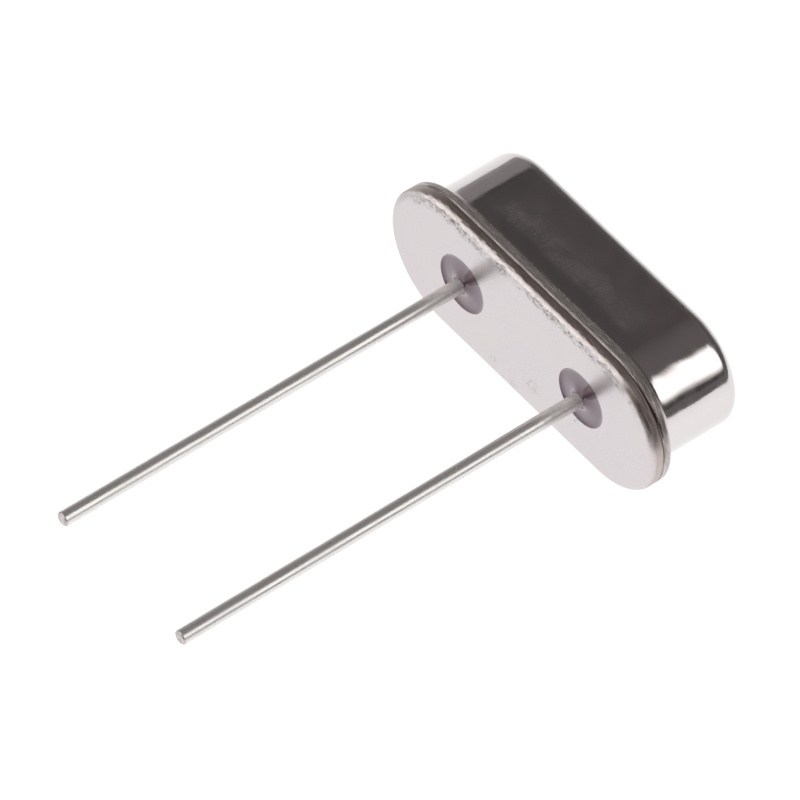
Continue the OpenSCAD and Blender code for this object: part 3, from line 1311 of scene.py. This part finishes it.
    def add_rim(self, skin: Skin, around: Array) -> None:
        """Adds the plate's edge, swept round the oval, with its marks.

        Args:
            skin: The base's surface.
            around: The distance round the rim at each step of the path.
        """
        profile = self.rim()
        on_flange = profile[:, 0] > self.pedestal_width / 2 + TINY
        half = np.where(on_flange, self.flange_half, self.pedestal_half)
        step = np.linalg.norm(np.diff(profile, axis=0), axis=1)
        outward = np.concatenate([[0.0], np.cumsum(step)])
        pushed = self.relief(around[:, None], outward[None, :], self.hardness()[:, None])
        pushed[:, np.isclose(profile[:, 0], profile[-1, 0])] = 0.0
        near = self.wheel()[:, None]
        rolled = ease(*self.rolled, outward)[None, :]
        rim = self.path.sweep(profile, half, pushed)
        rim[:, 0, 2] = -pushed[:, 0]
        rim[:, 0, :2] = self.path.sweep(profile, half)[:, 0, :2]
        skin.add(
            rim,
            weld=ease(*self.welded, outward)[None, :] * near,
            # The ridge mark is the rim's crests, which the finish lightens: wear plus a painted
            # highlight.
            ridge=ease(*self.ridge, outward) * ease(*self.ridge_end, outward) * near,
            rim=rolled * ease(0.0, self.rolled_top, self.flange - profile[:, 1]),
            scorch=self.path.scorched()[:, None] * ease(*self.scorched, outward),
            nicked=0 * near,
        )

    def add_half(self, skin: Skin, side: Side, around: Array) -> None:
        """Adds one half of the plate's faces and its hole, with its marks.

        Args:
            skin: The base's surface.
            side: Which half.
            around: The distance round the rim at each step of the path.
        """
        grid, inward, order = self.half_face(side, around)
        spare = np.zeros(len(inward) - len(order))
        scorch = column(self.path.scorched()[order], spare)
        nicked = sum(
            np.exp(-(((grid[..., 0] - x) ** 2 + (grid[..., 1] - y) ** 2) / size**2))
            for x, y, size in self.nicks
        )
        skin.add(
            grid,
            # The weld mark is the wheel's pitting, whose pits the finish darkens as painted shade.
            weld=ease(*self.pitted, inward) * column(self.wheel()[order], spare),
            ridge=0 * inward,
            rim=0 * inward,
            scorch=scorch * ease(*self.scorched, inward),
            nicked=nicked,
        )

    def build(self, seat: Seat, finish: Material) -> Piece:
        """Builds the base from its rim and the halves of its faces.

        Args:
            seat: The upright frame.
            finish: The plating.

        Returns:
            The piece.
        """
        around = self.path.distance(self.flange_half, self.reach)[0]
        skin = Skin("base_plate_pressed")
        self.add_rim(skin, around)
        for side in Side:
            self.add_half(skin, side, around)
        return settle(skin.finished(seat, self.sharp), finish, "base_plating", "base_plate")


@dataclass(frozen=True)
class GlassSeal:
    """A bead of glass fused between the base and its lead, dished below and climbing the wire."""

    side: Side
    pitch: float = 4.88
    diameter: float = 1.77
    wire_d: float = 0.41
    climb: float = 0.06
    dish: float = 0.06
    creep: float = 0.15
    rim_creep: float = 0.05
    top: float = 0.85
    steps: int = 112
    dish_steps: int = 60
    crowding: float = 0.8
    sharp: float = 60.0

    def profile(self) -> Array:
        """Draws the bead, from the wire at its top out, down the hole, in along the dish and up
        the wire. The dish is d (1 - exp(-(R - r)/e)) deep, less what climbs the wire,
        (k + d) exp(-(r - w)/c).

        Returns:
            The closed profile, as radius and height.
        """
        rim, wire = self.diameter / 2, self.wire_d / 2
        radius = rim + (wire - rim) * np.linspace(0, 1, self.dish_steps) ** self.crowding
        bowl = self.dish * (1 - np.exp((radius - rim) / self.rim_creep))
        climb = (self.climb + self.dish) * np.exp((wire - radius) / self.creep)
        dished = np.stack([radius, bowl - climb], axis=1)
        dished[0, 1] = 0.0
        return chain(
            run((wire, self.top), (rim, self.top), 4),
            run((rim, self.top), (rim, 0.0), 5),
            dished,
            run(tuple(dished[-1]), (wire, self.top), 6)[:-1],
        )

    def build(self, seat: Seat, finish: Material) -> Piece:
        """Builds the bead by turning its profile round the lead's axis.

        Args:
            seat: The upright frame.
            finish: The glass.

        Returns:
            The piece.
        """
        node = f"glass_seal_{self.side.word}"
        skin = Skin(f"{node}_fused")
        grid = revolve(self.profile(), self.steps, self.side.value * self.pitch / 2)
        skin.add(grid[::-1], close=True)
        return settle(skin.finished(seat, self.sharp), finish, "seal_glass", node)


@dataclass(frozen=True)
class Lead:
    """A tinned wire with a cut tip, bare inside its seal, and a flat head inside the can."""

    side: Side
    seed: int
    pitch: float = 4.88
    diameter: float = 0.43
    wire_d: float = 0.41
    length: float = 13.2
    tip_r: float = 0.07
    climb: float = 0.06
    head_low: float = 0.97
    head_t: float = 0.12
    head_d: float = 0.81
    tin_step: float = 0.01
    glass_fade: float = 0.3
    tip_fade: float = 0.25
    waviness: float = 0.0026
    slow_share: float = 0.6
    clot_share: float = 0.8
    clotted: Span = (-2.0, -0.8)
    clot: float = 0.9
    steps: int = 56
    length_steps: int = 300
    sharp: float = 50.0

    def profile(self) -> Array:
        """Draws the wire, from the middle of its tip out and up to the middle of its head.

        Returns:
            The profile, as radius and height.
        """
        tin, wire, head = self.diameter / 2, self.wire_d / 2, self.head_d / 2
        top, glass = self.head_low + self.head_t, -self.climb
        ends = glass - self.tin_step
        return chain(
            run((0.0, -self.length), (tin - self.tip_r, -self.length), 6),
            arc((tin - self.tip_r, self.tip_r - self.length), self.tip_r, -90, 0, 8),
            run((tin, self.tip_r - self.length), (tin, ends), self.length_steps),
            run((tin, ends), (wire, glass), 1),
            run((wire, glass), (wire, self.head_low), 8),
            run((wire, self.head_low), (head, self.head_low), 2),
            run((head, self.head_low), (head, top), 2),
            run((head, top), (0.0, top), 3),
        )

    def build(self, seat: Seat, finish: Material) -> Piece:
        """Builds the wire by turning its profile, with slow waves in its tin along its length and
        clots near the glass: w (0.6 slow + 0.8 clots), fading out at both ends of the tin.

        Args:
            seat: The upright frame.
            finish: The tin.

        Returns:
            The piece.
        """
        profile = self.profile()
        angle = np.linspace(0, 2 * math.pi, self.steps, endpoint=False)[:, None]
        around, whole = angle * self.diameter / 2, math.pi * self.diameter
        height = profile[:, 1][None, :]
        tinned = ease(-self.climb, -self.climb - self.glass_fade, height)
        tinned = tinned * ease(-self.length, self.tip_fade - self.length, height)
        slow = Waves(0.3, 1.0, self.seed).over(around, height / 5, whole)
        clots = Waves(0.18, 0.5, self.seed + 1).over(around, height, whole)
        near = ease(*self.clotted, height)
        waves = slow * self.slow_share + clots * near * self.clot_share
        rise = self.waviness * tinned * waves
        cut = ease(self.tip_r - self.length, -self.length, height)
        node = f"lead_{self.side.word}"
        skin = Skin(f"{node}_tinned")
        grid = revolve(profile, self.steps, self.side.value * self.pitch / 2, rise)
        skin.add(grid, clot=near * self.clot, cut=cut)
        return settle(skin.finished(seat, self.sharp), finish, "tinned_wire", node)


@dataclass(frozen=True)
class Inside:
    """What is shut inside the can: the CAD's own nodes, with their finishes."""

    ribbon: RibbonMetal = RibbonMetal()
    quartz: LappedQuartz = LappedQuartz()
    silver: SilverFilm = SilverFilm()
    epoxy: SilverEpoxy = SilverEpoxy()

    def dress(self, seat: Seat, nodes: dict[str, Piece]) -> list[str]:
        """Gives each node its finish.

        Args:
            seat: The upright frame.
            nodes: The CAD nodes by name.

        Returns:
            The names of the nodes that were dressed.
        """
        finishes = {
            "mounting_clip": self.ribbon.material(seat),
            "quartz_blank": self.quartz.material(seat),
            "electrode": self.silver.material(seat),
            "adhesive": self.epoxy.material(seat),
        }
        dressed = []
        for name, node in sorted(nodes.items()):
            finish = next((f for start, f in finishes.items() if name.startswith(start)), None)
            if finish is None:
                continue
            node.data.materials.clear()
            node.data.materials.append(finish)
            dressed.append(name)
        return dressed


# --------------------------------------------------------------------------------------------
# Studio
# --------------------------------------------------------------------------------------------


@dataclass(frozen=True)
class SoftBox:
    """A soft light far off, as a patch of the sky: where it stands, how wide, how bright.

    All but radiance and tint are in degrees, the azimuth from the row frame's x towards its y.
    """

    azimuth: float
    elevation: float
    half_width: float
    half_height: float
    softness: float
    radiance: float
    tint: Triple = (1.0, 1.0, 1.0)
    lower_softness: float = 0.0

    def axes(self) -> tuple[Vector, Vector, Vector]:
        """Gives the directions towards, beside and above the light.

        Returns:
            The three unit directions.
        """
        a, e = math.radians(self.azimuth), math.radians(self.elevation)
        ahead = Vector((math.cos(a) * math.cos(e), math.sin(a) * math.cos(e), math.sin(e)))
        beside = Vector((-math.sin(a), math.cos(a), 0.0))
        return ahead, beside, ahead.cross(beside)


class Sky(Tree):
    """The world's node tree, with the way to add soft lights to it."""

    def __init__(self, tree: bpy.types.NodeTree) -> None:
        """Takes hold of the world's tree and adds its directions."""
        super().__init__(tree)
        self.way = self.put("ShaderNodeTexCoord").outputs["Generated"]

    def vector(self, kind: str, first: object, second: object) -> bpy.types.Node:
        """Adds a Vector Math node of that kind on two values or sockets."""
        return self.pair(self.put("ShaderNodeVectorMath", {"operation": kind}), first, second)

    def part(self, axis: Vector) -> Socket:
        """Gives the direction's part along an axis."""
        return self.vector("DOT_PRODUCT", self.way, axis).outputs["Value"]

    def fade(self, value: Socket, half: float, soft: float) -> Socket:
        """Falls from 1 inside half to 0 outside it, over soft degrees either way."""
        outer, inner = math.radians(half + soft), math.radians(half - soft)
        return self.ramp(value, math.tan(outer), math.tan(inner))

    def lit(self, light: object, box: SoftBox) -> Socket:
        """Adds one light's patch: the product of smooth steps, in the tangents of the angles
        beside, above and below its centre.

        Args:
            light: The sky so far, as a colour or socket.
            box: The light.

        Returns:
            The sky with the light in it.
        """
        ahead, beside, above = (self.part(axis) for axis in box.axes())
        depth = self.sum("MAXIMUM", ahead, LEAST_DEPTH)
        wide = self.sum("ABSOLUTE", self.sum("DIVIDE", beside, depth))
        tall = self.sum("DIVIDE", above, depth)
        lower = self.sum("MULTIPLY", tall, -1.0)
        under = box.lower_softness or box.softness
        patch = self.sum("GREATER_THAN", ahead, 0.0)
        for value, half, soft in (
            (wide, box.half_width, box.softness),
            (tall, box.half_height, box.softness),
            (lower, box.half_height, under),
        ):
            patch = self.sum("MULTIPLY", patch, self.fade(value, half, soft))
        glow = self.put("ShaderNodeVectorMath", {"operation": "SCALE"}, Scale=patch)
        self.feed(glow.inputs[0], [c * box.radiance for c in box.tint])
        return self.vector("ADD", light, glow.outputs["Vector"]).outputs["Vector"]


def board(name: str, **sockets: object) -> Material:
    """Makes a plain board's material.

    Args:
        name: Its name.
        **sockets: The Principled shader's inputs by name, with _ for a space.

    Returns:
        The material.
    """
    material = bpy.data.materials.new(name)
    material.use_nodes = True
    shader = material.node_tree.nodes["Principled BSDF"]
    for key, value in sockets.items():
        shader.inputs[key.replace("_", " ")].default_value = value
    return material


@dataclass(frozen=True)
class Studio:
    """A pale floor under a dim room with a few soft lights in it, and a low black card."""

    room: Triple = (0.062, 0.057, 0.056)
    boxes: tuple[SoftBox, ...] = (
        SoftBox(24, 33.5, 18.5, 20, 2.0, 1.5, (1.0, 0.99, 0.97), 6.0),
        SoftBox(-127, 30, 36, 50, 8, 1.02, (1.0, 0.965, 0.945)),
        SoftBox(160, 18, 24, 18, 3, 0.19, (1.0, 0.93, 0.96)),
        SoftBox(135, 0, 55, 2, 12, 0.22, (1.0, 0.96, 0.97)),
        SoftBox(60, 55, 40, 14, 18, 0.075, (1.0, 0.86, 0.86)),
        SoftBox(-38, 56, 24, 20, 8, 0.42, (1.0, 0.97, 0.94)),
    )
    floor_rings: tuple[float, ...] = (0.0, 0.06, 0.3, 1.5, 3.0)
    floor_steps: int = 64
    floor_glow: float = 0.98
    floor_paint: float = 0.22
    floor_gloss: float = 0.8
    floor_blur: float = 0.45
    flag_reach: float = 0.020
    flag_foot: float = 0.02
    flag_height: float = 0.0033
    flag_from: float = -30.0
    flag_to: float = 80.0
    flag_steps: int = 48
    flag_paint: Colour = (0.13, 0.12, 0.12, 1.0)
    sharp: float = 60.0

    def sky(self) -> None:
        """Builds the room: a dim colour, plus each light's patch."""
        world = bpy.data.worlds.new("studio")
        bpy.context.scene.world = world
        world.use_nodes = True
        sky = Sky(world.node_tree)
        light = self.room
        for box in self.boxes:
            light = sky.lit(light, box)
        sky.feed(sky.nodes["Background"].inputs["Color"], light)

    def floor(self) -> Piece:
        """Lays the floor, a plain disc of white board that glows a little: (R cos a, R sin a, 0).

        Returns:
            The floor.
        """
        rings = np.array(self.floor_rings)
        angle = np.linspace(0, 2 * math.pi, self.floor_steps, endpoint=False)[:, None]
        grid = np.stack([rings * np.cos(angle), rings * np.sin(angle), 0 * rings * angle], axis=2)
        skin = Skin("studio_floor")
        skin.add(grid / MILLIMETRE)
        floor = skin.finished(Seat.plain(), self.sharp)
        paint = board(
            "white_board",
            Base_Color=(self.floor_paint,) * 3 + (1.0,),
            Roughness=1.0,
            Specular_IOR_Level=0.0,
            Emission_Color=(1.0, 1.0, 1.0, 1.0),
            Emission_Strength=self.floor_glow,
            Coat_Weight=self.floor_gloss,
            Coat_Roughness=self.floor_blur,
        )
        floor.data.materials.append(paint)
        return floor

    def flag(self) -> Piece:
        """Stands a low black card round the unit's right, which only reflections see: a strip
        along an arc, (R cos a, R sin a, h t).

        Returns:
            The card.
        """
        angle = np.radians(np.linspace(self.flag_from, self.flag_to, self.flag_steps))[:, None]
        rise = np.linspace(self.flag_foot, 1.0, 3)[None, :] * self.flag_height
        reach = self.flag_reach + 0 * rise
        grid = np.stack([reach * np.cos(angle), reach * np.sin(angle), rise + 0 * angle], axis=2)
        skin = Skin("studio_flag")
        skin.add(grid / MILLIMETRE, wrap=False)
        flag = skin.finished(Seat.plain(), self.sharp)
        flag.data.materials.append(board("black_card", Base_Color=self.flag_paint, Roughness=1.0))
        flag.visible_camera = False
        flag.visible_diffuse = False
        flag.visible_shadow = False
        return flag


@dataclass(frozen=True)
class Camera:
    """The view of the unit from above its leads' right, with a long lens.

    Angles are in degrees, lens and sensor in millimetres, and distances in metres.
    """

    azimuth: float = 56.09
    elevation: float = 54.26
    roll: float = -6.14
    lens: float = 510.0
    sensor: float = 36.0
    distance: float = 0.29297
    right: float = 0.000713
    up: float = 0.001023
    nearest: float = 0.01
    farthest: float = 20.0

    def place(self, low: Vector, high: Vector) -> Piece:
        """Makes the camera and aims it at a point beside the unit's middle.

        Args:
            low: The unit's lowest corner.
            high: Its highest corner.

        Returns:
            The camera.
        """
        a, e = math.radians(self.azimuth), math.radians(self.elevation)
        back = Vector((math.sin(a) * math.cos(e), -math.cos(a) * math.cos(e), math.sin(e)))
        level = Vector((0, 0, 1)).cross(back).normalized()
        above = back.cross(level)
        aim = (low + high) / 2 + level * self.right + above * self.up
        turn = math.radians(self.roll)
        right = level * math.cos(turn) + above * math.sin(turn)
        camera = bpy.data.cameras.new("view")
        camera.lens = self.lens
        camera.sensor_width = self.sensor
        camera.clip_start = self.nearest
        camera.clip_end = self.farthest
        view = bpy.data.objects.new("view", camera)
        bpy.context.scene.collection.objects.link(view)
        turned = Matrix((right, back.cross(right), back)).transposed().to_4x4()
        view.matrix_world = Matrix.Translation(aim + back * self.distance) @ turned
        bpy.context.scene.camera = view
        return view


def main() -> None:
    """Builds the unit and its studio."""
    logging.basicConfig(level=logging.INFO, format="%(message)s")
    seat = Seat.from_record(frame["record"])
    studio = Studio()
    studio.sky()
    studio.floor()
    studio.flag()
    Camera().place(*CAD_BOX)
    tin, glass = HotTin().material(seat), SealGlass().material(seat)
    pieces = [
        CanCover().build(seat, DrawnPlating().material(seat)),
        BasePlate().build(seat, PressedPlating().material(seat)),
    ]
    pieces += [GlassSeal(side).build(seat, glass) for side in Side]
    leads = [Lead(side, FIRST_LEAD_SEED + 2 * i) for i, side in enumerate(Side)]
    pieces += [lead.build(seat, tin) for lead in leads]
    for piece in pieces:
        LOG.info("%s: %d faces", piece.name, len(piece.data.polygons))
    for name in Inside().dress(seat, frame["nodes"]):
        LOG.info("%s: dressed", name)
    scene = bpy.context.scene
    scene.view_settings.view_transform = "Standard"


if __name__ == "__main__":
    main()
